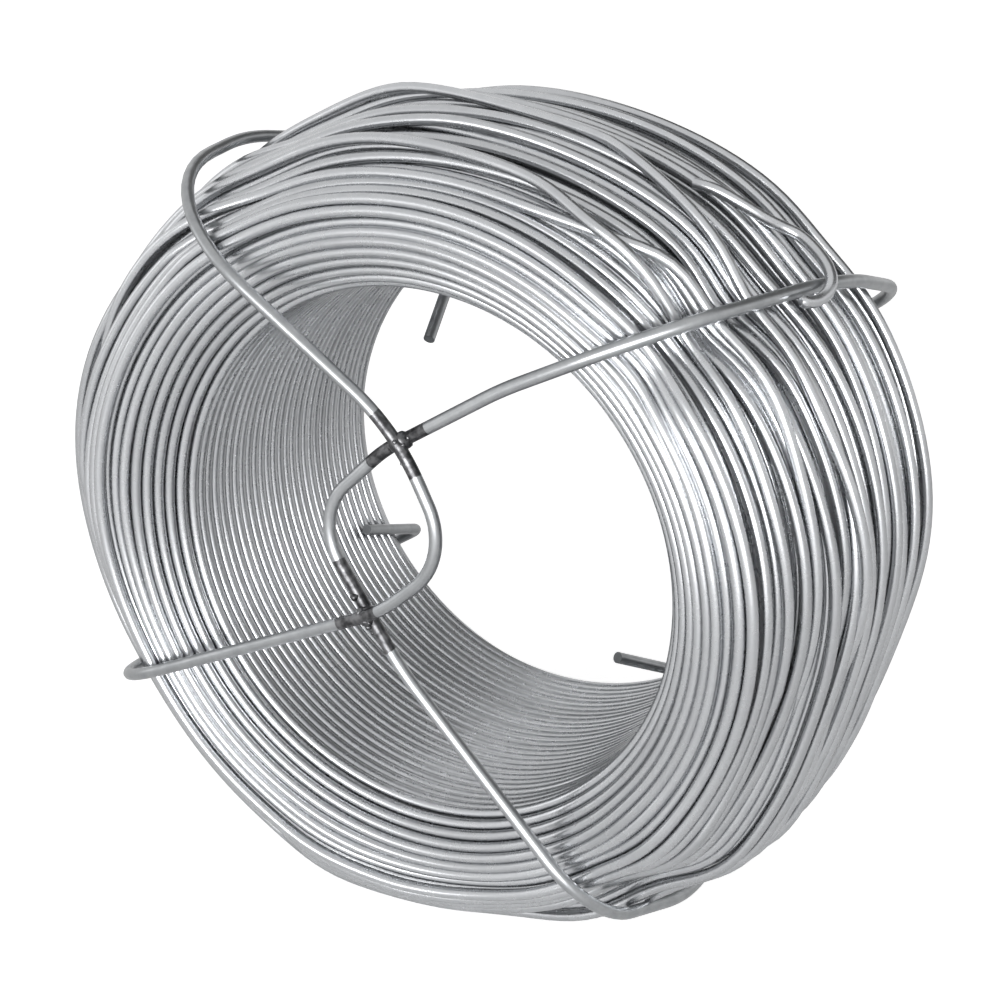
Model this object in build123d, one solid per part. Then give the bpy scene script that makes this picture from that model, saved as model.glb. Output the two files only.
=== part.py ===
from build123d import *
from collections import namedtuple
import math
import os

# Coil of galvanised wire on a welded wire carrier, standing on its rim. All lengths are millimetres.
# The origin is the middle of the bore. +Y runs along the bore to the back end, +Z is up.

# The wire, and the coil that it is wound into
wire_diameter = 1.6
bore_radius = 38.0
bore_width = 46.0
winding_depth = 23.2
end_bulge = 5.6
bore_lead_in = 9.0
outer_roundness = 2.9
end_ridges = 7
outer_ridges = 2
ridge_lift_share = 0.1
groove_depth_share = 0.28
end_sweep_share = 0.68
curve_samples = 400
slope_step_share = 0.002

# The carrier: two bent wires, welded where they cross in front of the bore
carrier_diameter = 1.8
seat_clearance = 0.15
run_clearance = 0.4
weld_set_down = 0.4
eye_bend_radius = 10.0
tip_bend_radius = 2.5
tip_reach = 15.0
tip_root_share = 0.99
back_bend_share = 0.47
wire_facets = 8

# Corners of the eye seen from the front, as shares of the bore's radius,
# and the bends at them, as shares of the eye's bend
over_eye_shares = ((0.050, 0.568), (0.268, 0.134), (-0.034, -0.136))
over_bend_shares = (3.0, 1.0, 3.0)
under_eye_shares = ((0.440, 0.760), (-0.021, 0.470), (-0.329, 0.168), (0.026, -0.355))
under_bend_shares = (6.0, 2.5, 0.9, 4.0)

# Each arm: angles in degrees round the axis where it goes over the rim, lies on the back and ends in the bore,
# how far out its cut tip lies as a share of the bore's radius, and its bend over the rim as a share of the
# depth of the winding
Arm = namedtuple("Arm", "rim_angle back_angle tip_angle tip_share bend_share")
upper_left_arm = Arm(123.8, 127.5, 137.0, 0.724, 0.60)
left_arm = Arm(208.7, 213.0, 205.5, 0.950, 0.73)
right_arm = Arm(43.5, 34.6, 34.6, 0.870, 0.74)
lower_arm = Arm(-53.9, -60.5, -64.4, 0.810, 0.74)

# The wire's cut end comes out of the outer turns, passes over the right arm and curls back beside it.
# Angles in degrees round the axis, places along the axis as shares of the bore's width
tail_angles = (62.5, 56.5, 50.3, 42.8, 37.4, 38.6)
tail_along_shares = (-0.165, -0.090, -0.015, 0.025, -0.115, -0.200)
tail_bend_shares = (5.0, 5.0, 2.4, 1.8)
tail_clearance = 0.2

half_width = bore_width / 2 + end_bulge
outer_radius = bore_radius + winding_depth
run_radius = outer_radius + carrier_diameter / 2 + run_clearance


def around(radius, angle, along):
    """A point at a radius and an angle round the bore's axis."""
    turn = math.radians(angle)
    return Vector(radius * math.cos(turn), along, radius * math.sin(turn))


def bent_wire(corners, bends, diameter):
    """A wire along straight runs joined by bends, with flats round it so that its many bends stay light."""
    pieces = []
    edges = FilletPolyline(*corners, radius=bends).order_edges()
    side = Plane(origin=edges[0] @ 0, z_dir=edges[0] % 0).x_dir
    for edge in edges:
        start, heading = edge @ 0, edge % 0
        section = Plane(origin=start, x_dir=side, z_dir=heading) * RegularPolygon(diameter / 2, wire_facets)
        if edge.geom_type == GeomType.LINE:
            pieces.append(extrude(section, amount=edge.length))
        else:
            pin = Axis(edge.arc_center, (start - edge.arc_center).cross(heading))
            turn = math.degrees(edge.length / edge.radius)
            pieces.append(revolve(section, pin, turn))
            side = side.rotate(pin, turn)
    return pieces[0].fuse(*pieces[1:])


def end_curve(sweep_share):
    """A point (along the axis, out from it) on the coil's front, from the bore to the middle of the outside."""
    angle = math.radians(90 * sweep_share)
    along = -half_width * math.cos(angle) ** (2 / outer_roundness)
    out = bore_radius + winding_depth * math.sin(angle) ** (2 / outer_roundness)
    inset_share = min(1, (out - bore_radius) / bore_lead_in)
    along += end_bulge * (1 - math.sin(math.pi / 2 * inset_share))
    return along, out


def even_shares(first_share, last_share, count):
    """Shares of the sweep that lie evenly along a stretch of the end curve, without its start."""
    samples = [first_share + (last_share - first_share) * i / curve_samples for i in range(curve_samples + 1)]
    points = [end_curve(share) for share in samples]
    run = [0]
    for a, b in zip(points, points[1:]):
        run.append(run[-1] + math.dist(a, b))
    shares = []
    for i in range(1, count + 1):
        wanted = run[-1] * i / count
        nearest = min(range(len(run)), key=lambda k: abs(run[k] - wanted))
        shares.append(samples[nearest])
    return shares


def lifted(share, lift):
    """A point of the end curve, moved straight out of the surface by a lift."""
    along, out = end_curve(share)
    behind, ahead = end_curve(share - slope_step_share), end_curve(share + slope_step_share)
    step = math.dist(ahead, behind)
    return along - lift * (ahead[1] - behind[1]) / step, out + lift * (ahead[0] - behind[0]) / step


def coil_profile():
    """Half of the coil's section, from the bore to the middle of the outside, with ridges for the turns."""
    ridge_lift = ridge_lift_share * wire_diameter
    groove_lift = -groove_depth_share * wire_diameter
    points = [end_curve(0)]
    for i, share in enumerate(even_shares(0, end_sweep_share, 2 * end_ridges)):
        points.append(lifted(share, groove_lift if i % 2 else ridge_lift))
    for i, share in enumerate(even_shares(end_sweep_share, 1, 2 * outer_ridges + 1)[:-1]):
        points.append(lifted(share, groove_lift if i % 2 else 0))
    return points + [end_curve(1)]


def winding():
    """All the turns as one turned solid."""
    front = coil_profile()
    back = [(-along, out) for along, out in reversed(front)]
    outline = [(out, along) for along, out in front + back[1:]]
    return revolve(make_face(Polyline(*outline, close=True)), axis=Axis.Y)


def wire_tail():
    """The cut end of the wire, hooked over the right arm of the carrier."""
    wire_radius = wire_diameter / 2
    sunk = outer_radius - wire_diameter
    laid = outer_radius + wire_radius / 2
    over = run_radius + carrier_diameter / 2 + wire_radius + tail_clearance
    radii = (sunk, laid, laid, over, over, run_radius)
    corners = [around(radius, angle, share * bore_width)
               for radius, angle, share in zip(radii, tail_angles, tail_along_shares)]
    return bent_wire(corners, [share * wire_diameter for share in tail_bend_shares], wire_diameter)


def arm_corners(arm, front_plane):
    """Corners of one arm, from the front of the rim to the cut tip inside the bore."""
    tip_root = tip_root_share * bore_radius
    return [around(run_radius, arm.rim_angle, front_plane), around(run_radius, arm.back_angle, back_plane),
            around(tip_root, arm.back_angle, back_plane),
            around(arm.tip_share * bore_radius, arm.tip_angle, back_plane - tip_reach)]


def carrier_wire(first_arm, eye_shares, bend_shares, last_arm, front_plane):
    """One bent wire: tip, back leg, rim, arm, half of the eye, arm, rim, back leg, tip."""
    eye = [Vector(x * bore_radius, front_plane, z * bore_radius) for x, z in eye_shares]
    corners = arm_corners(first_arm, front_plane)[::-1] + eye + arm_corners(last_arm, front_plane)
    back_bend = back_bend_share * winding_depth
    bends = [tip_bend_radius, back_bend, first_arm.bend_share * winding_depth]
    bends += [share * eye_bend_radius for share in bend_shares]
    bends += [last_arm.bend_share * winding_depth, back_bend, tip_bend_radius]
    return bent_wire(corners, bends, carrier_diameter)


end_crest = -min(along for along, out in coil_profile())
back_plane = end_crest + carrier_diameter / 2 + seat_clearance
under_plane = -back_plane
over_plane = under_plane - carrier_diameter + weld_set_down

wire_coil = winding() + wire_tail()
carrier_wire_over = carrier_wire(upper_left_arm, over_eye_shares, over_bend_shares, left_arm, over_plane)
carrier_wire_under = carrier_wire(right_arm, under_eye_shares, under_bend_shares, lower_arm, under_plane)
carrier_wire_under -= carrier_wire_over

os.makedirs("parts", exist_ok=True)
export_step(wire_coil, "parts/wire_coil.step")
export_step(carrier_wire_over, "parts/carrier_wire_over.step")
export_step(carrier_wire_under, "parts/carrier_wire_under.step")
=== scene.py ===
# %% [markdown]
# # A coil of galvanised wire
#
# The real object is one length of zinc-coated wire, wound on a drum, taken off it and held by a carrier of two
# bent wires that are welded where they cross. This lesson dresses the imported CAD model: it keeps the CAD frame,
# and lays the single turns that the CAD's one turned solid only hints at.

# %% Load the frame
import math
from collections import namedtuple

import bpy
import numpy as np
from mathutils import Matrix, Vector
from mathutils.geometry import intersect_line_line_2d


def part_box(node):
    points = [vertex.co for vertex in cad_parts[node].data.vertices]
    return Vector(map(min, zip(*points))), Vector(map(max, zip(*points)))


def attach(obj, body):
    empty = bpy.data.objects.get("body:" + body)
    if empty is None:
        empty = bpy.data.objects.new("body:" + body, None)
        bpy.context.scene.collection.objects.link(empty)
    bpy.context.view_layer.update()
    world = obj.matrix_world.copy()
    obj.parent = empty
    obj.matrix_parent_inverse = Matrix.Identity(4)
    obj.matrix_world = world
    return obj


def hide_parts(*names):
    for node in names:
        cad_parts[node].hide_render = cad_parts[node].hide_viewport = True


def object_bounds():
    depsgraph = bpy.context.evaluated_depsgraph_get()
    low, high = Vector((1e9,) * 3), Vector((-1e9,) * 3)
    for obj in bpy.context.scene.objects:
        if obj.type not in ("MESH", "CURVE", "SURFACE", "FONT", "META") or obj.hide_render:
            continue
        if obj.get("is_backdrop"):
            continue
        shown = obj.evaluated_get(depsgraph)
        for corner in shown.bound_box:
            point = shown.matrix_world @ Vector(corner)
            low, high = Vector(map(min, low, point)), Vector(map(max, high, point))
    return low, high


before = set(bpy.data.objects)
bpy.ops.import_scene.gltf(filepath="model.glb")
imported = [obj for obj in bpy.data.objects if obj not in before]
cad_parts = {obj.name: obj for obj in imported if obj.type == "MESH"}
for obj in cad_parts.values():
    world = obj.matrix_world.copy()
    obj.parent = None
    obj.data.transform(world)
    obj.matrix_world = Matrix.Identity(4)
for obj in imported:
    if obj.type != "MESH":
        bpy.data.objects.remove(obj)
cad_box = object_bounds()
mm = 0.001
coil_low, coil_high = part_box("wire_coil")
print("coil from", tuple(coil_low), "to", tuple(coil_high))

# %% [markdown]
# ## Camera
#
# The photo looks down into the bore from the right. Its place was worked out from the two rims of the bore, so
# the camera is set in the part's own frame and needs no shift.

# %% Camera
camera_place = Vector((124.13, -222.42, 101.55)) * mm
camera_azimuth = math.radians(29.1)
camera_elevation = math.radians(21.56)
bpy.ops.object.camera_add(location=camera_place, rotation=(math.pi / 2 - camera_elevation, 0, camera_azimuth))
camera = bpy.context.object
camera.name = "photo_camera"
camera.data.sensor_width = 36
camera.data.lens = 67.2
camera.data.clip_start = 0.01
bpy.context.scene.camera = camera
print("camera looks along", tuple(camera.matrix_world.to_quaternion() @ Vector((0, 0, -1))))

# %% [markdown]
# ## Studio
#
# A pale floor, a white surround that the metal mirrors too, and soft lamps. The streaks on the turns give the
# lamps away: they lie on the front end at the lower left and the upper right, and on the outside only at the right.
# So the main lamp is a long low strip in front of the coil, with two weak ones to its right and its left.

# %% Studio
surround_light = 0.55
surround_seen = 1.0
floor_grey = 0.86
floor_glow_seen = 0.64
floor_glow_mirrored = 0.2

scene = bpy.context.scene
scene.view_settings.view_transform = "Standard"


def math_node(tree, operation, *inputs):
    """The output of a math node. Each input is a number or another node's output."""
    node = tree.nodes.new("ShaderNodeMath")
    node.operation = operation
    for socket, value in zip(node.inputs, inputs):
        if isinstance(value, bpy.types.NodeSocket):
            tree.links.new(value, socket)
        else:
            socket.default_value = value
    return node.outputs[0]


# The surround is white to the camera and in the metal, and weaker as a lamp
world = bpy.data.worlds.new("white_studio")
scene.world = world
world.use_nodes = True
tree = world.node_tree
surround = tree.nodes["Background"]
surround.inputs["Color"].default_value = (1, 1, 1, 1)
rays = tree.nodes.new("ShaderNodeLightPath").outputs
seen = math_node(tree, "MAXIMUM", rays["Is Camera Ray"], rays["Is Glossy Ray"])
seen = math_node(tree, "MAXIMUM", seen, rays["Is Transmission Ray"])
level = tree.nodes.new("ShaderNodeMapRange")
level.inputs["To Min"].default_value = surround_light
level.inputs["To Max"].default_value = surround_seen
tree.links.new(seen, level.inputs["Value"])
tree.links.new(level.outputs["Result"], surround.inputs["Strength"])

# The floor glows to the camera, so that it melts into the surround, and a little in the metal
bpy.ops.object.select_all(action="DESELECT")
bpy.ops.mesh.primitive_plane_add(size=6, location=(0, 0, cad_box[0].z))
floor = bpy.context.object
floor.name = "pale_floor"
floor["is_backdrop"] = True
floor_paint = bpy.data.materials.new("pale_floor_paint")
floor_paint.use_nodes = True
tree = floor_paint.node_tree
tree.nodes.remove(tree.nodes["Principled BSDF"])
matt = tree.nodes.new("ShaderNodeBsdfDiffuse")
matt.inputs["Color"].default_value = (floor_grey, floor_grey, floor_grey, 1)
glow = tree.nodes.new("ShaderNodeEmission")
rays = tree.nodes.new("ShaderNodeLightPath").outputs
mirrored = math_node(tree, "MULTIPLY", rays["Is Glossy Ray"], floor_glow_mirrored)
strength = math_node(tree, "MULTIPLY_ADD", rays["Is Camera Ray"], floor_glow_seen, mirrored)
tree.links.new(strength, glow.inputs["Strength"])
both = tree.nodes.new("ShaderNodeAddShader")
tree.links.new(matt.outputs[0], both.inputs[0])
tree.links.new(glow.outputs[0], both.inputs[1])
tree.links.new(both.outputs[0], tree.nodes["Material Output"].inputs["Surface"])
floor.data.materials.append(floor_paint)


def softbox(name, azimuth, elevation, width, height, power):
    """A lamp a metre away that faces the middle of the bore, placed by the angles that a photographer gives."""
    turn, rise = math.radians(azimuth), math.radians(elevation)
    place = Vector((math.sin(turn) * math.cos(rise), -math.cos(turn) * math.cos(rise), math.sin(rise)))
    bpy.ops.object.light_add(type="AREA", location=place, rotation=place.to_track_quat("Z", "Y").to_euler())
    lamp = bpy.context.object
    lamp.name = name
    lamp.data.shape = "RECTANGLE"
    lamp.data.size = width
    lamp.data.size_y = height
    lamp.data.energy = power


softbox("front_strip", azimuth=12, elevation=5.5, width=1.1, height=0.36, power=17.5)
softbox("right_softbox", azimuth=42, elevation=9, width=0.5, height=0.35, power=0.5)
softbox("left_softbox", azimuth=-66, elevation=6, width=0.5, height=0.4, power=0.7)

# %% [markdown]
# Bright metal needs something dark to mirror. A dark grey card stands behind and above the coil, out of the picture,
# as product photographers do.

# %% Grey card
card_place = Vector((0.27, 0.66, 0.72))
card_grey = 0.14
bpy.ops.mesh.primitive_plane_add(size=1, location=card_place, rotation=card_place.to_track_quat("Z", "Y").to_euler())
card = bpy.context.object
card.name = "grey_card"
card.scale = (1.3, 1.0, 1)
card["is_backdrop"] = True
card_paint = bpy.data.materials.new("grey_card_paint")
card_paint.use_nodes = True
card_shader = card_paint.node_tree.nodes["Principled BSDF"]
card_shader.inputs["Base Color"].default_value = (card_grey, card_grey, card_grey, 1)
card_shader.inputs["Roughness"].default_value = 0.9
card.data.materials.append(card_paint)
print("card at", tuple(card_place))

# %% [markdown]
# ## Zinc
#
# Galvanised wire is steel under a thin coat of zinc. It is a metal all through, so the base colour is the tint of
# its reflections. The coat is mottled and has fine pits, and each turn is a little darker or brighter than the next.

# %% Zinc finishes
roughness_swing = 0.03
mix_factor, mix_first, mix_second, mix_result = 0, 6, 7, 2  # sockets of a node that mixes colours


def noise(tree, place, scale, detail):
    """A noise texture in the object's own space."""
    texture = tree.nodes.new("ShaderNodeTexNoise")
    texture.inputs["Scale"].default_value = scale
    texture.inputs["Detail"].default_value = detail
    tree.links.new(place.outputs["Object"], texture.inputs["Vector"])
    return texture


def colour_ramp(tree, texture, low, low_colour, high, high_colour):
    """Turns a texture into colours that run from one to the other between two of its levels."""
    ramp = tree.nodes.new("ShaderNodeValToRGB")
    for element, level, colour in zip(ramp.color_ramp.elements, (low, high), (low_colour, high_colour)):
        element.position = level
        element.color = (*colour, 1)
    tree.links.new(texture.outputs["Fac"], ramp.inputs["Fac"])
    return ramp


def zinc(name, colour, dull_colour, roughness, pit_depth):
    """Zinc coat on drawn wire: mottled, pitted, a little different on each turn."""
    material = bpy.data.materials.new(name)
    material.use_nodes = True
    tree = material.node_tree
    shader = tree.nodes["Principled BSDF"]
    shader.inputs["Metallic"].default_value = 1.0
    place = tree.nodes.new("ShaderNodeTexCoord")

    mottle = noise(tree, place, scale=420, detail=6)
    mottle.inputs["Roughness"].default_value = 0.65
    tint = colour_ramp(tree, mottle, low=0.36, low_colour=dull_colour, high=0.62, high_colour=colour)
    shade = tree.nodes.new("ShaderNodeAttribute")
    shade.attribute_name = "shade"
    darken = tree.nodes.new("ShaderNodeMix")
    darken.data_type = "RGBA"
    darken.inputs[mix_second].default_value = (0, 0, 0, 1)
    tree.links.new(shade.outputs["Fac"], darken.inputs[mix_factor])
    tree.links.new(tint.outputs["Color"], darken.inputs[mix_first])
    tree.links.new(darken.outputs[mix_result], shader.inputs["Base Color"])

    rough = tree.nodes.new("ShaderNodeMapRange")
    rough.inputs["From Min"].default_value = 0.3
    rough.inputs["From Max"].default_value = 0.7
    rough.inputs["To Min"].default_value = roughness + roughness_swing
    rough.inputs["To Max"].default_value = roughness - roughness_swing
    tree.links.new(mottle.outputs["Fac"], rough.inputs["Value"])
    tree.links.new(rough.outputs["Result"], shader.inputs["Roughness"])

    pits = noise(tree, place, scale=2600, detail=3)
    relief = tree.nodes.new("ShaderNodeBump")
    relief.inputs["Strength"].default_value = 0.18
    relief.inputs["Distance"].default_value = pit_depth
    tree.links.new(pits.outputs["Fac"], relief.inputs["Height"])
    tree.links.new(relief.outputs["Normal"], shader.inputs["Normal"])
    return material


bright_zinc = zinc("bright_zinc", (0.54, 0.55, 0.565), (0.49, 0.50, 0.515), roughness=0.28, pit_depth=0.03 * mm)
dull_zinc = zinc("dull_zinc", (0.40, 0.41, 0.42), (0.33, 0.34, 0.35), roughness=0.36, pit_depth=0.03 * mm)
inner_shadow = zinc("inner_shadow", (0.42, 0.42, 0.43), (0.36, 0.36, 0.37), roughness=0.6, pit_depth=0.05 * mm)
cut_steel = zinc("cut_steel", (0.025, 0.025, 0.027), (0.01, 0.01, 0.011), roughness=0.55, pit_depth=0.05 * mm)
print("finishes", [m.name for m in (bright_zinc, dull_zinc, inner_shadow, cut_steel)])

# %% [markdown]
# ## The surface that the turns lie on
#
# The CAD solid's section is a curve from the front rim of the bore, over the front end, across the outside and
# down the back end. Unrolled, it is a strip: one way along the curve, the other way round the axis. A turn is
# then a line on that strip, with a height above it.
#
# The real winding isn't round. Its outer turns are slack at the left and drawn in at the top and the lower right,
# and two of the carrier's arms press into them.

# %% Unrolled surface
wire_radius = 0.8 * mm
bore_radius = 38.0 * mm
outer_radius = coil_high.x
half_width = 28.6 * mm
end_bulge = 5.6 * mm
bore_lead_in = 9.0 * mm
outer_roundness = 2.9
section_samples = 1500

sweep = np.linspace(0, math.pi / 2, section_samples)
front_along = -half_width * np.cos(sweep).clip(0) ** (2 / outer_roundness)
front_out = bore_radius + (outer_radius - bore_radius) * np.sin(sweep) ** (2 / outer_roundness)
lead = ((front_out - bore_radius) / bore_lead_in).clip(0, 1)
front_along += end_bulge * (1 - np.sin(math.pi / 2 * lead))
section_along = np.concatenate([front_along, -front_along[-2::-1]])
section_out = np.concatenate([front_out, front_out[-2::-1]])
section_run = np.concatenate([[0], np.cumsum(np.hypot(np.diff(section_along), np.diff(section_out)))])
strip_width = section_run[-1]
slope_along = np.gradient(section_along, section_run)
slope_out = np.gradient(section_out, section_run)

# Slack of the outer turns: millimetres out (or in, below zero), the middle and the spread in degrees
overall_slack = -0.6
slack_spots = [(3.4, 172, 32), (1.4, 230, 24), (0.9, 252, 9), (0.8, 321, 8), (-2.1, 84, 32),
               (-1.2, 117, 10), (-0.9, 44, 8), (-1.9, 285, 15), (-2.2, 308, 9), (-1.5, 346, 15)]
slack_start, slack_full = 4 * mm, 20 * mm

# Turns pressed in under the right and the left arm: the middle and the spread in degrees, the depth,
# and the first and the last place across the strip
Press = namedtuple("Press", "middle spread depth first last")
presses = [Press(44, 6.5, 2.3 * mm, 13 * mm, 28 * mm),
           Press(211.5, 7, 1.8 * mm, 30 * mm, strip_width - 12 * mm)]
press_lead_in, press_run_out = 5 * mm, 10 * mm


def from_rim(across):
    """How far places across the strip lie from the nearer rim of the bore."""
    return np.minimum(across, strip_width - across)


def bulge(angle, middle, spread):
    """One at the middle angle, falling off smoothly on both sides. The middle and the spread are in degrees."""
    off = (np.degrees(angle) - middle + 180) % 360 - 180
    return np.exp(-(off / spread) ** 2)


def slack(angle):
    """How far the outer turns stand out at an angle."""
    stand_out = overall_slack
    for rise, middle, spread in slack_spots:
        stand_out = stand_out + rise * bulge(angle, middle, spread)
    return stand_out * mm


def on_coil(angle, across, height):
    """Points in space for angles round the axis, places across the strip and heights above it."""
    height = height + slack(angle) * np.interp(from_rim(across), [slack_start, slack_full], [0, 1])
    for press in presses:
        stops = [press.first - press_lead_in, press.first, press.last, press.last + press_run_out]
        stretch = np.interp(across, stops, [0, 1, 1, 0])
        height = height - press.depth * bulge(angle, press.middle, press.spread) * stretch
    along = np.interp(across, section_run, section_along) - height * np.interp(across, section_run, slope_out)
    out = np.interp(across, section_run, section_out) + height * np.interp(across, section_run, slope_along)
    return np.stack([out * np.cos(angle), along, out * np.sin(angle)], -1)


print("strip is", round(strip_width / mm, 1), "mm wide")

# %% [markdown]
# ## Laying the turns
#
# The coil looks right only if turns that cross ride over each other. So the turns are laid one after another, as
# the winding machine does: each rests on the highest thing under it, bridges the hollows because wire is stiff,
# and then raises the ground for the next. The ground is a grid of heights over the strip.

# %% Ground and laying
angle_steps = 180
angles = np.arange(angle_steps) * 2 * math.pi / angle_steps
rows = np.arange(angle_steps)[:, None]
grid_step = 0.1 * mm
margin = 3 * mm
reach = int(wire_radius / grid_step)
ground_start = -margin
ground_places = np.arange(int((strip_width + 2 * margin) / grid_step)) * grid_step + ground_start
# The ground lies so deep that the finished layers come up to about the CAD's surface
ground_level = np.interp(from_rim(ground_places), [0, 12 * mm, 20 * mm, 26 * mm],
                         [-2.95 * mm, -2.95 * mm, -6.2 * mm, -5.1 * mm])
ground = np.tile(ground_level, (angle_steps, 1))

stiffness_passes = 30
wave_fade = 0.8
wander_norm = 1.4
drift_knots = 6
pitch = 1.64 * mm
rim_guard = 0.2 * mm
layer_inset = 0.96 * mm
top_front_inset, top_back_inset = 13 * mm, 14 * mm
stray_count = 7
stray_inset = 24 * mm
stray_amount = 1.8 * mm
stray_waves = 3
chance = np.random.default_rng(7)


def lay(across):
    """Rests one turn on the ground along its path and raises the ground by it. Gives the turn's heights."""
    centre = (across - ground_start) / grid_step
    columns = np.rint(centre).astype(int)[:, None] + np.arange(-reach, reach + 1)
    crown = np.sqrt((wire_radius ** 2 - ((columns - centre[:, None]) * grid_step) ** 2).clip(0))
    columns = columns.clip(0, ground.shape[1] - 1)
    support = (ground[rows, columns] + crown).max(1)
    height = support.copy()
    for _ in range(stiffness_passes):
        height = np.maximum(support, (np.roll(height, -1) + 2 * height + np.roll(height, 1)) / 4)
    np.maximum.at(ground, (rows, columns), height[:, None] + crown)
    return height


def laid_turn(across):
    """One turn in space, laid on those before it."""
    return on_coil(angles, across, lay(across))


def wander(amount, waves=6):
    """A smooth closed line that strays to both sides by about the given amount."""
    line = np.zeros(angle_steps)
    for wave in range(1, waves + 1):
        line += chance.normal() / wave ** wave_fade * np.cos(wave * angles + chance.uniform(0, 2 * math.pi))
    return amount * line / wander_norm


def looseness(across):
    """How far a turn strays: neat beside the bore, loose on the outside."""
    return np.interp(from_rim(across), [0, 10 * mm, 18 * mm, 32 * mm], [0.02 * mm, 0.06 * mm, 0.5 * mm, 1.1 * mm])


def drift_field():
    """Wanderings that turns lying side by side share, so that they stray together."""
    lines = np.array([wander(1.0) for _ in range(drift_knots)])

    def drift(place):
        at = place / strip_width * (drift_knots - 1)
        low = min(int(at), drift_knots - 2)
        return lines[low] * (low + 1 - at) + lines[low + 1] * (at - low)
    return drift


def lay_layer(first, last, play, drift, own_share):
    """One layer of turns over a stretch of the strip: every other turn first, then those between them. The play
    widens the pitch where turns are loose, and the own share is how far each strays beyond the shared drift."""
    places = [first]
    while places[-1] < last:
        places.append(places[-1] + pitch + play * looseness(places[-1]))
    places = np.interp(places, [first, places[-1]], [first, last])
    turns = []
    for place in np.concatenate([places[0::2], places[1::2]]):
        loose = looseness(place)
        across = place + loose * drift(place) + wander(loose * own_share)
        turns.append(laid_turn(across.clip(rim_guard, strip_width - rim_guard)))
    return turns


inner_drift, outer_drift = drift_field(), drift_field()
under_layer = lay_layer(layer_inset, strip_width - layer_inset, play=0.3, drift=inner_drift, own_share=0)
mid_layer = lay_layer(layer_inset + pitch / 2, strip_width - layer_inset - pitch / 2,
                      play=0.3, drift=inner_drift, own_share=0.1)
top_layer = lay_layer(top_front_inset, strip_width - top_back_inset, play=0.2, drift=outer_drift, own_share=0.4)
stray_layer = [laid_turn(place + wander(stray_amount, stray_waves))
               for place in np.linspace(stray_inset, strip_width - stray_inset, stray_count)]
print("turns laid", len(under_layer), len(mid_layer), len(top_layer), len(stray_layer),
      "highest", ground.max() / mm)

# %% [markdown]
# ## Loose strands
#
# A few turns near the top and the right have slipped across their neighbours. Each is a whole turn, given by the
# places that it passes. It is laid on top of the rest there, and sinks out of sight into the winding farther round.

# %% Loose strands
strand_smoothing_passes = 4
sink_depth = 3.4 * mm
on_top_angles = [-25, 20, 122, 160]  # degrees: starts to rise, on top from, on top to, has sunk


def loose_strand(places):
    """A closed turn through places given as (angle in degrees, millimetres across the strip)."""
    stops = np.array(places)
    across = np.interp(np.degrees(angles), stops[:, 0], stops[:, 1], period=360) * mm
    for _ in range(strand_smoothing_passes):
        across = (np.roll(across, 1) + 2 * across + np.roll(across, -1)) / 4
    height = lay(across)
    on_top = np.interp(np.degrees(angles), on_top_angles, [0, 1, 1, 0], period=360)
    return on_coil(angles, across, height - sink_depth * (1 - on_top) ** 2)


loose_lines = [
    loose_strand([(90, 19.4), (72, 19.4), (63, 20.8), (58, 21.9), (53, 24.1), (48, 24.8), (44, 24.8), (22, 24.0),
                  (-60, 25.0), (-150, 22.0)]),
    loose_strand([(118, 25.8), (96, 24.9), (82, 23.5), (72, 23.2), (68, 22.2), (62.5, 20.6), (56.8, 21.0),
                  (50.9, 20.8), (45.7, 20.6), (39.8, 19.8), (20, 19.2), (-60, 21.0), (-150, 25.0)]),
    loose_strand([(126, 46.4), (102, 44.6), (91, 42.7), (78.5, 39.9), (65.3, 36.2), (54.6, 33.3), (28, 29.6),
                  (-60, 36.0), (-150, 44.0)]),
]
print("loose strands", [len(line) for line in loose_lines])

# %% [markdown]
# ## From lines to wire
#
# A curve with a round bevel is the quickest way to a wire. All the turns of a layer share one curve object, which
# is turned into a mesh.

# %% Wire from lines
shade_spread = 0.16


def select_only(*pieces):
    """Selects these pieces and makes the first of them active."""
    bpy.ops.object.select_all(action="DESELECT")
    for piece in pieces:
        piece.select_set(True)
    bpy.context.view_layer.objects.active = pieces[0]


def wire_piece(name, lines, radius, material, sides=8, closed=True, end_share=1.0):
    """One mesh of round wires along the given lines. Each gets its own shade, and its last end can taper."""
    curve = bpy.data.curves.new(name, "CURVE")
    curve.dimensions = "3D"
    for line in lines:
        spline = curve.splines.new("POLY")
        spline.points.add(len(line) - 1)
        spline.points.foreach_set("co", np.c_[line, np.ones(len(line))].astype(np.float32).ravel())
        spline.points[-1].radius = end_share
        spline.use_cyclic_u = closed
        spline.use_smooth = True
    curve.bevel_depth = radius
    curve.bevel_resolution = sides // 2 - 2
    curve.use_fill_caps = not closed
    piece = bpy.data.objects.new(name, curve)
    scene.collection.objects.link(piece)
    select_only(piece)
    bpy.ops.object.convert(target="MESH")
    mesh = piece.data
    mesh.materials.append(material)
    mesh.materials.append(cut_steel)
    for face in mesh.polygons:
        is_cap = len(face.vertices) > 4
        face.material_index = 1 if is_cap else 0
    counts = np.array([len(line) for line in lines]) * sides
    counts += (len(mesh.vertices) - counts.sum()) // len(lines)
    shades = np.repeat(chance.uniform(0, shade_spread, len(lines)), counts)
    mesh.attributes.new("shade", "FLOAT", "POINT").data.foreach_set("value", shades.astype(np.float32))
    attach(piece, "root")
    print(name, len(lines), "lines,", sum(len(p.vertices) - 2 for p in mesh.polygons), "triangles")
    return piece


under_turns = wire_piece("under_turns", under_layer, wire_radius, bright_zinc)
mid_turns = wire_piece("mid_turns", mid_layer, wire_radius, bright_zinc)
top_turns = wire_piece("top_turns", top_layer, wire_radius, bright_zinc)
stray_turns = wire_piece("stray_turns", stray_layer, wire_radius, bright_zinc)
loose_turns = wire_piece("loose_turns", loose_lines, wire_radius, bright_zinc)

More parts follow.
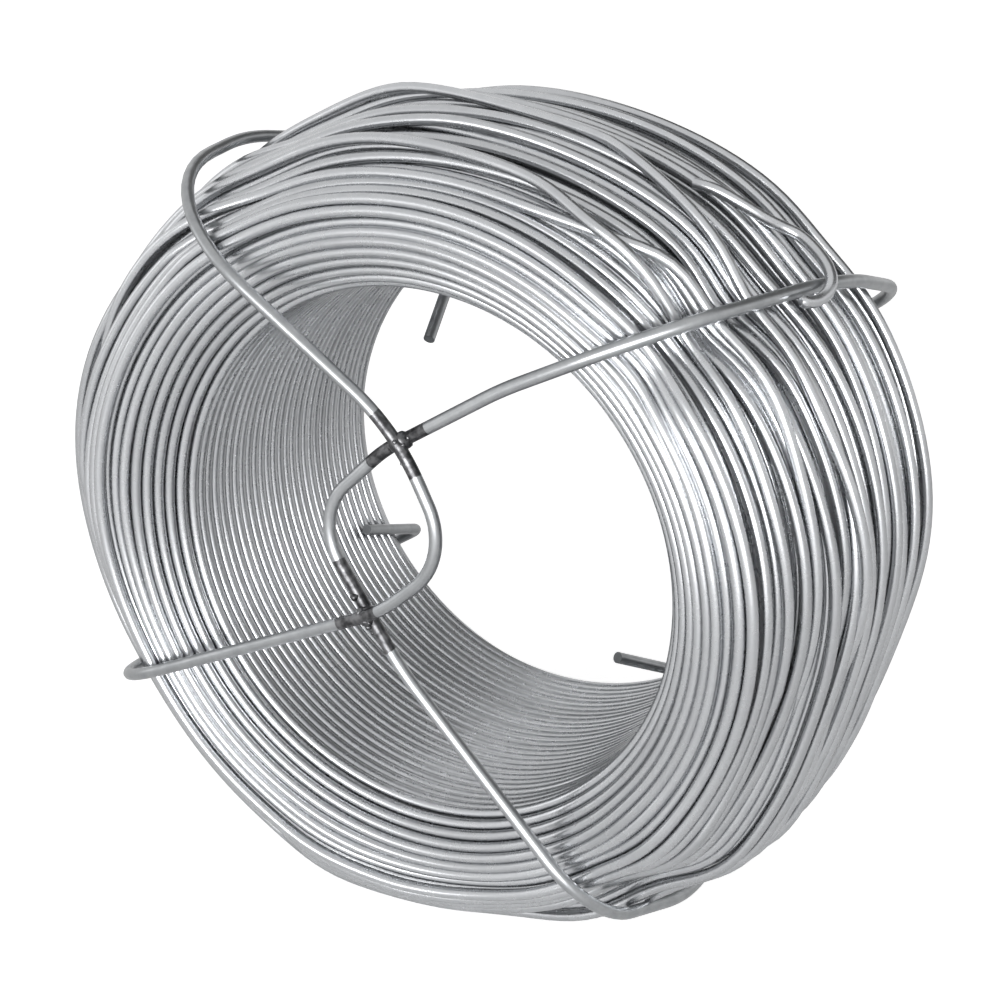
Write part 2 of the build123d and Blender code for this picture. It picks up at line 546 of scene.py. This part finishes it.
# %% [markdown]
# ## Bore
#
# The first layer was wound on a drum, so the bore is the neatest part: turn beside turn with no gap. The slope of a
# turn is too small to see, so each is drawn as a ring.

# %% Bore turns
bore_width = 46.0 * mm
bore_turn_count = 28
bore_pitch = bore_width / bore_turn_count
bore_steps = 240
bore_stray = 0.05 * mm
bore_waves = 4
bore_angles = np.arange(bore_steps) * 2 * math.pi / bore_steps
bore_lines = []
for turn in range(bore_turn_count):
    stray = np.interp(bore_angles, angles, wander(bore_stray, bore_waves), period=2 * math.pi)
    out = bore_radius + wire_radius + stray
    along = np.full(bore_steps, -bore_width / 2 + bore_pitch * (turn + 0.5))
    bore_lines.append(np.stack([out * np.cos(bore_angles), along, out * np.sin(bore_angles)], -1))
bore_turns = wire_piece("bore_turns", bore_lines, wire_radius, bright_zinc, sides=12)

# %% [markdown]
# ## Core
#
# Between the turns one looks into the dark of the winding. A plain ring behind them stands for the inner turns and
# closes the gaps.

# %% Dark core
core_points = 60
core_inset = 4 * mm
core_turn_steps = 96
core_bore_cover = 0.45 * wire_radius
core_across = np.linspace(core_inset, strip_width - core_inset, core_points)
core_depth = np.interp(from_rim(core_across), [4 * mm, 12 * mm, 20 * mm], [3.4 * mm, 4.6 * mm, 7.0 * mm])
core_line = on_coil(np.zeros(core_points), core_across, -core_depth)
core_out, core_along = np.hypot(core_line[:, 0], core_line[:, 2]), core_line[:, 1]
core_out = np.maximum(core_out, bore_radius + core_bore_cover)
core_outline = np.c_[core_out, core_along, np.zeros(core_points)]
core_mesh = bpy.data.meshes.new("dark_core")
core_mesh.from_pydata([tuple(p) for p in core_outline], [(i, (i + 1) % core_points) for i in range(core_points)], [])
dark_core = bpy.data.objects.new("dark_core", core_mesh)
scene.collection.objects.link(dark_core)
select_only(dark_core)
bpy.ops.object.mode_set(mode="EDIT")
bpy.ops.mesh.select_all(action="SELECT")
bpy.ops.mesh.spin(steps=core_turn_steps, angle=2 * math.pi, center=(0, 0, 0), axis=(0, 1, 0))
bpy.ops.mesh.select_all(action="SELECT")
bpy.ops.mesh.remove_doubles(threshold=0.01 * mm)
bpy.ops.mesh.normals_make_consistent(inside=False)
bpy.ops.object.mode_set(mode="OBJECT")
bpy.ops.object.shade_smooth()
dark_core.data.materials.append(inner_shadow)
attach(dark_core, "root")
print("core", len(dark_core.data.polygons), "faces")

# %% [markdown]
# ## Carrier
#
# The carrier is bent from two wires on pins, so each wire is straight runs joined by arcs. The corners of the eye
# are the CAD's own. The arms go over the rim as in the photo, where they hug it and bow outwards, so they run up to
# 6 mm off the CAD's.

# %% Carrier wires
carrier_radius = 0.9 * mm
run_offset = 1.3 * mm
run_radius = outer_radius + run_offset
back_plane = -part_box("carrier_wire_under")[0].y - carrier_radius
under_plane = -back_plane
over_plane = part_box("carrier_wire_over")[0].y + carrier_radius
tip_bend = 2.5 * mm
run_bend = 40 * mm
tip_reach = 15.0 * mm
bend_steps = 14

# Each arm: angles in degrees at the front rim, the back rim and the end of the back leg, where that end lies as
# a share of the bore's radius, the cut tip's angle and share, how many millimetres the run over the outside is
# lifted at its front, middle and back, and the bends in millimetres over the front rim and the back rim
Arm = namedtuple("Arm", "rim_angle back_angle leg_angle root_share tip_angle tip_share lifts bends")
upper_left_arm = Arm(127.8, 132.4, 127.5, 0.99, 137.0, 0.724, (-0.7, 3.5, -1.0), (24.0, 17.0))
left_arm = Arm(208.7, 213.0, 213.0, 0.99, 205.5, 0.950, (0, 0.9, 0.5), (16.9, 16.0))
right_arm = Arm(46.1, 32.4, 34.6, 0.99, 34.6, 0.870, (-7.7, 2.0, -2.0), (19.5, 15.0))
lower_arm = Arm(-55.0, -61.4, -60.5, 1.08, -64.4, 0.810, (-8.1, 2.8, -1.9), (14.2, 17.0))

# Corners of the eye seen from the front, as shares of the bore's radius, and the bends at them in millimetres
over_eye = [(0.050, 0.568), (0.268, 0.134), (-0.034, -0.136)]
over_eye_bends = [30, 10, 30]
under_eye = [(0.440, 0.760), (-0.021, 0.470), (-0.329, 0.168), (0.026, -0.355)]
under_eye_bends = [60, 25, 9, 40]


def around(radius, angle, along):
    """A point at a radius and an angle in degrees round the bore's axis."""
    turn = math.radians(angle)
    return Vector((radius * math.cos(turn), along, radius * math.sin(turn)))


def arm_line(arm, front_plane):
    """Corners and bends of one arm, from the front of the rim to the cut tip inside the bore."""
    front, middle, back = (run_radius + lift * mm for lift in arm.lifts)
    front_bend, back_bend = (bend * mm for bend in arm.bends)
    corners = [around(front, arm.rim_angle, front_plane),
               around(middle, (arm.rim_angle + arm.back_angle) / 2, 0),
               around(back, arm.back_angle, back_plane),
               around(arm.root_share * bore_radius, arm.leg_angle, back_plane),
               around(arm.tip_share * bore_radius, arm.tip_angle, back_plane - tip_reach)]
    return corners, [front_bend, run_bend, back_bend, tip_bend]


def bent_line(corners, bends):
    """Points along straight runs joined by arcs, one bend for each inner corner."""
    points = [corners[0]]
    for before, corner, after, bend in zip(corners, corners[1:], corners[2:], bends):
        into, out = (corner - before).normalized(), (after - corner).normalized()
        turn = into.angle(out)
        trim = bend * math.tan(turn / 2)
        pin = into.cross(out).normalized()
        start = corner - into * trim
        centre = start + pin.cross(into) * bend
        for step in range(bend_steps + 1):
            points.append(centre + Matrix.Rotation(turn * step / bend_steps, 3, pin) @ (start - centre))
    return points + [corners[-1]]


def carrier_line(first_arm, eye, eye_bends, last_arm, front_plane):
    """The whole line of one carrier wire: tip, arm, half of the eye, arm, tip."""
    first_corners, first_bends = arm_line(first_arm, front_plane)
    last_corners, last_bends = arm_line(last_arm, front_plane)
    middle = [Vector((x * bore_radius, front_plane, z * bore_radius)) for x, z in eye]
    bends = first_bends[::-1] + [bend * mm for bend in eye_bends] + last_bends
    return bent_line(first_corners[::-1] + middle + last_corners, bends)


over_line = carrier_line(upper_left_arm, over_eye, over_eye_bends, left_arm, over_plane)
under_line = carrier_line(right_arm, under_eye, under_eye_bends, lower_arm, under_plane)
carrier_over = wire_piece("carrier_over", [np.array(over_line)], carrier_radius, dull_zinc.copy(),
                          sides=16, closed=False)
carrier_under = wire_piece("carrier_under", [np.array(under_line)], carrier_radius, dull_zinc.copy(),
                           sides=16, closed=False)

# %% [markdown]
# ## Welds
#
# The carrier's wires are pressed together between electrodes and welded where they cross. The current burns the
# zinc off on both sides, to a sharp edge where the electrode ended, and throws out small beads of metal. The
# burnt stretch is the part of a wire inside a ball round the weld, which the finish can find by distance.

# %% Burnt stretches
burn_edge = 0.12 * mm
burnt_dark = (0.045, 0.045, 0.047)
burnt_pale = (0.16, 0.16, 0.165)


def crossings(first, second):
    """Places where two lines cross in front of the coil, seen along the bore, the upper one first."""
    found = []
    for a, b in zip(first, first[1:]):
        for c, d in zip(second, second[1:]):
            hit = intersect_line_line_2d(a.xz, b.xz, c.xz, d.xz)
            if hit and max(a.y, b.y, c.y, d.y) < under_plane / 2:
                found.append(Vector((hit.x, (over_plane + under_plane) / 2, hit.y)))
    return sorted(found, key=lambda place: -place.z)


def burn(material, spots):
    """Darkens a finish inside balls given as (middle, reach)."""
    tree = material.node_tree
    base_colour = tree.nodes["Principled BSDF"].inputs["Base Color"]
    place = tree.nodes.new("ShaderNodeTexCoord")
    blotch = noise(tree, place, scale=900, detail=5)
    burnt = colour_ramp(tree, blotch, low=0.4, low_colour=burnt_dark, high=0.68, high_colour=burnt_pale)
    for middle, burn_reach in spots:
        away = tree.nodes.new("ShaderNodeVectorMath")
        away.operation = "DISTANCE"
        away.inputs[1].default_value = middle
        tree.links.new(place.outputs["Object"], away.inputs[0])
        inside = tree.nodes.new("ShaderNodeMapRange")
        inside.inputs["From Min"].default_value = burn_reach
        inside.inputs["From Max"].default_value = burn_reach + burn_edge
        inside.inputs["To Min"].default_value = 1
        inside.inputs["To Max"].default_value = 0
        tree.links.new(away.outputs["Value"], inside.inputs["Value"])
        mix = tree.nodes.new("ShaderNodeMix")
        mix.data_type = "RGBA"
        tree.links.new(inside.outputs["Result"], mix.inputs[mix_factor])
        tree.links.new(base_colour.links[0].from_socket, mix.inputs[mix_first])
        tree.links.new(burnt.outputs["Color"], mix.inputs[mix_second])
        tree.links.new(mix.outputs[mix_result], base_colour)


upper_weld, lower_weld = crossings(over_line, under_line)
burn(carrier_over.data.materials[0],
     [(upper_weld, 5.1 * mm), (lower_weld + Vector((-0.8, 0, -0.3)) * mm, 3.8 * mm)])
burn(carrier_under.data.materials[0],
     [(upper_weld + Vector((-0.8, 0, -0.5)) * mm, 5.4 * mm), (lower_weld + Vector((-0.8, 0, 0.9)) * mm, 7.2 * mm)])
print("welds at", tuple(upper_weld / mm), tuple(lower_weld / mm))

# %% [markdown]
# A weld's lump is three balls whose surface is pushed in and out by a few waves, and its splashes are small balls.

# %% Weld lumps
weld_scale = zinc("weld_scale", (0.16, 0.16, 0.165), (0.035, 0.035, 0.037), roughness=0.34, pit_depth=0.08 * mm)
lump_wave_count = 5
lump_wave_spread = 2.2

# Balls of a weld's lump: offset and radius in millimetres, and how rough. Splashes: offset and radius
weld_balls = [((0, 0, 0), 1.25, 0.5), ((0.5, -0.5, -0.4), 0.8, 0.6), ((-0.6, -0.4, 0.5), 0.7, 0.6)]
upper_splashes = [((0.9, -0.9, -1.2), 0.3), ((-1.3, -0.4, -0.9), 0.34), ((0.2, -1.6, 0.5), 0.3),
                  ((1.4, -0.2, 0.9), 0.28), ((1.0, -1.3, -2.4), 0.22), ((-0.9, -1.2, 1.5), 0.22)]
lower_splashes = [((-1.7, -0.1, 2.3), 0.62), ((1.0, -0.9, -0.6), 0.3), ((-1.0, -1.2, -0.6), 0.32),
                  ((0.5, -0.2, -1.7), 0.4), ((1.9, -0.8, 0.3), 0.24), ((0.9, 0.2, -2.6), 0.3)]
splash_roughness = 0.25


def lump(place, radius, roughness_share):
    """A lumpy ball. Its place is put into its mesh."""
    bpy.ops.object.select_all(action="DESELECT")
    bpy.ops.mesh.primitive_ico_sphere_add(subdivisions=3, radius=radius, location=place)
    ball = bpy.context.object
    bpy.ops.object.transform_apply(location=True, rotation=True, scale=True)
    waves = chance.normal(0, lump_wave_spread / radius, (lump_wave_count, 3))
    turns = chance.uniform(0, 2 * math.pi, lump_wave_count)
    for vertex in ball.data.vertices:
        out = vertex.co - Vector(place)
        push = sum(math.sin(out.dot(wave) + turn) for wave, turn in zip(waves, turns)) / lump_wave_count
        vertex.co += out * push * roughness_share
    bpy.ops.object.shade_smooth()
    return ball


def weld(name, place, splashes):
    """The lump of one weld with its splashes, as one piece."""
    balls = [lump(place + Vector(offset) * mm, size * mm, roughness) for offset, size, roughness in weld_balls]
    balls += [lump(place + Vector(offset) * mm, size * mm, splash_roughness) for offset, size in splashes]
    select_only(*balls)
    bpy.ops.object.join()
    piece = bpy.context.object
    piece.name = name
    piece.data.materials.append(weld_scale)
    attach(piece, "root")
    print(name, len(piece.data.polygons), "faces")
    return piece


upper_lump = weld("upper_weld", upper_weld, upper_splashes)
lower_lump = weld("lower_weld", lower_weld, lower_splashes)

# %% [markdown]
# ## Cut end
#
# The wire's end comes out of the outer turns, passes over the right arm and is curled back beside it, so that the
# coil can't spring open.

# %% Cut end
tail_points = 60
tail_smoothing_passes = 6

# Angle in degrees, millimetres along the axis and millimetres out from it
tail_stops = np.array([(59.2, -3.6, 60.0), (56.7, -3.6, 61.2), (53.3, -3.3, 61.9), (50.2, -1.6, 62.0),
                       (48.0, 0.4, 62.2), (46.0, 0.8, 63.1), (43.3, -0.6, 64.1), (41.1, -2.4, 64.9),
                       (39.5, -4.1, 65.0), (38.6, -5.8, 64.3), (38.5, -7.9, 63.3), (39.6, -10.1, 62.6)])
tail_steps = np.linspace(0, len(tail_stops) - 1, tail_points)
tail_places = np.stack([np.interp(tail_steps, range(len(tail_stops)), column) for column in tail_stops.T], -1)
for _ in range(tail_smoothing_passes):
    tail_places[1:-1] = (tail_places[:-2] + 2 * tail_places[1:-1] + tail_places[2:]) / 4
tail_line = [around(out * mm, angle, along * mm) for angle, along, out in tail_places]
cut_end = wire_piece("cut_end", [np.array(tail_line)], wire_radius, bright_zinc, sides=12, closed=False, end_share=0.6)

# %% [markdown]
# ## Hiding the CAD parts
#
# The pieces stand for the CAD's parts, which are hidden. The outer turns sag a little below the CAD's ring, so the
# floor is lowered to the lowest of them.

# %% Hide the CAD parts
for piece in (under_turns, mid_turns, top_turns, stray_turns, loose_turns, bore_turns, dark_core, cut_end):
    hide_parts("wire_coil")
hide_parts("carrier_wire_over")
for piece in (carrier_under, upper_lump, lower_lump):
    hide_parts("carrier_wire_under")

visual_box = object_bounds()
floor.location.z = visual_box[0].z
print("visual box", [tuple(c) for c in visual_box])
